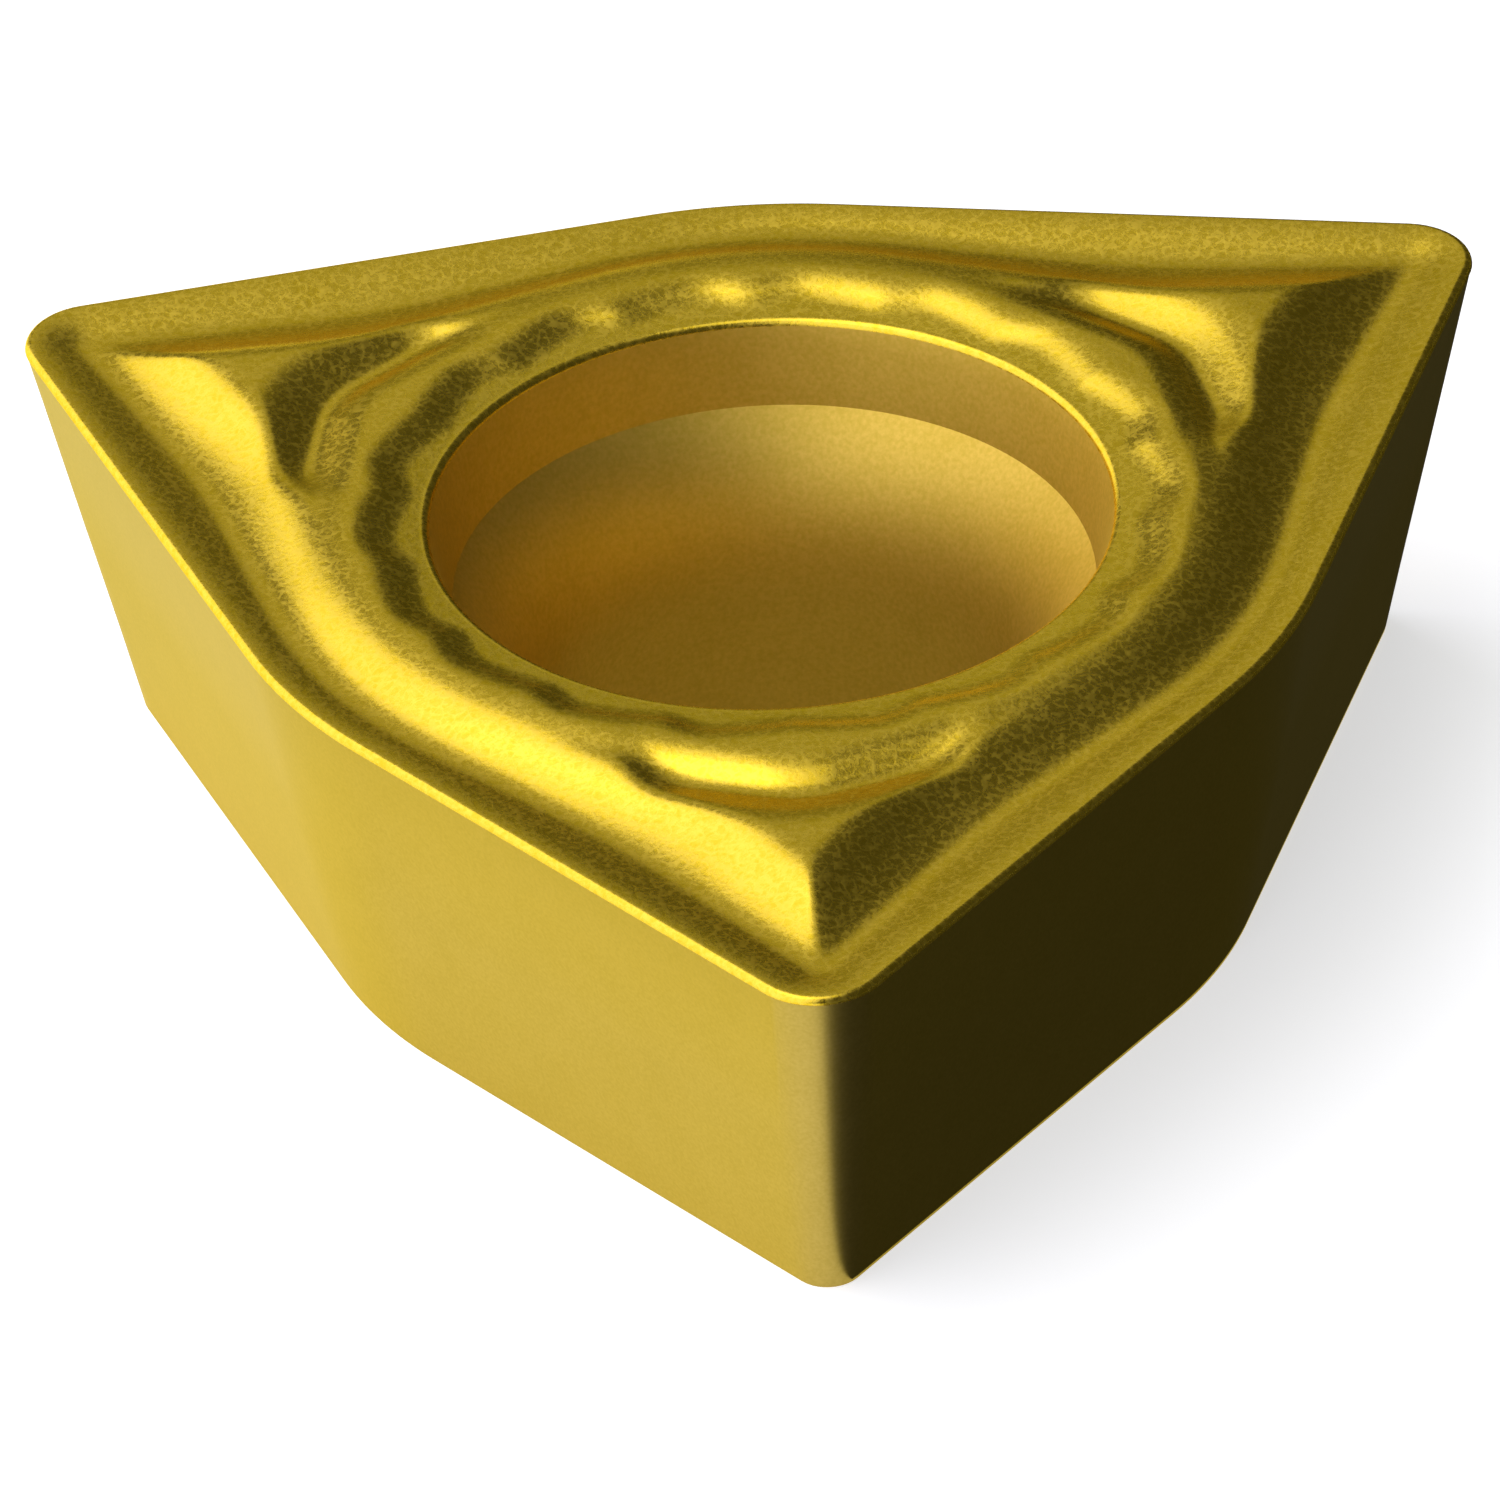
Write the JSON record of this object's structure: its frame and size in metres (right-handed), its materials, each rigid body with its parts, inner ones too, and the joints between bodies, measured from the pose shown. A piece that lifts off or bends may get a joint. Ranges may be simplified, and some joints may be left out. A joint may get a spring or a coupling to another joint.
{
  "type": "carbide insert",
  "caption": "Trigon indexable cutting insert of gold-coated sintered carbide, with a chip groove inside its edges, a raised ring and a countersunk screw hole.",
  "frame": {"origin": "axis of the screw hole at the seat face", "axes": "+Z along the screw hole, out through the rake side; one nose points along -Y"},
  "size_m": [0.0082, 0.0079, 0.0025],
  "materials": {
    "coated_carbide": "gold titanium nitride coating, satin with a fine blasted grain"
  },
  "bodies": {
    "root": {"insert": "coated_carbide"}
  },
  "joints": []
}
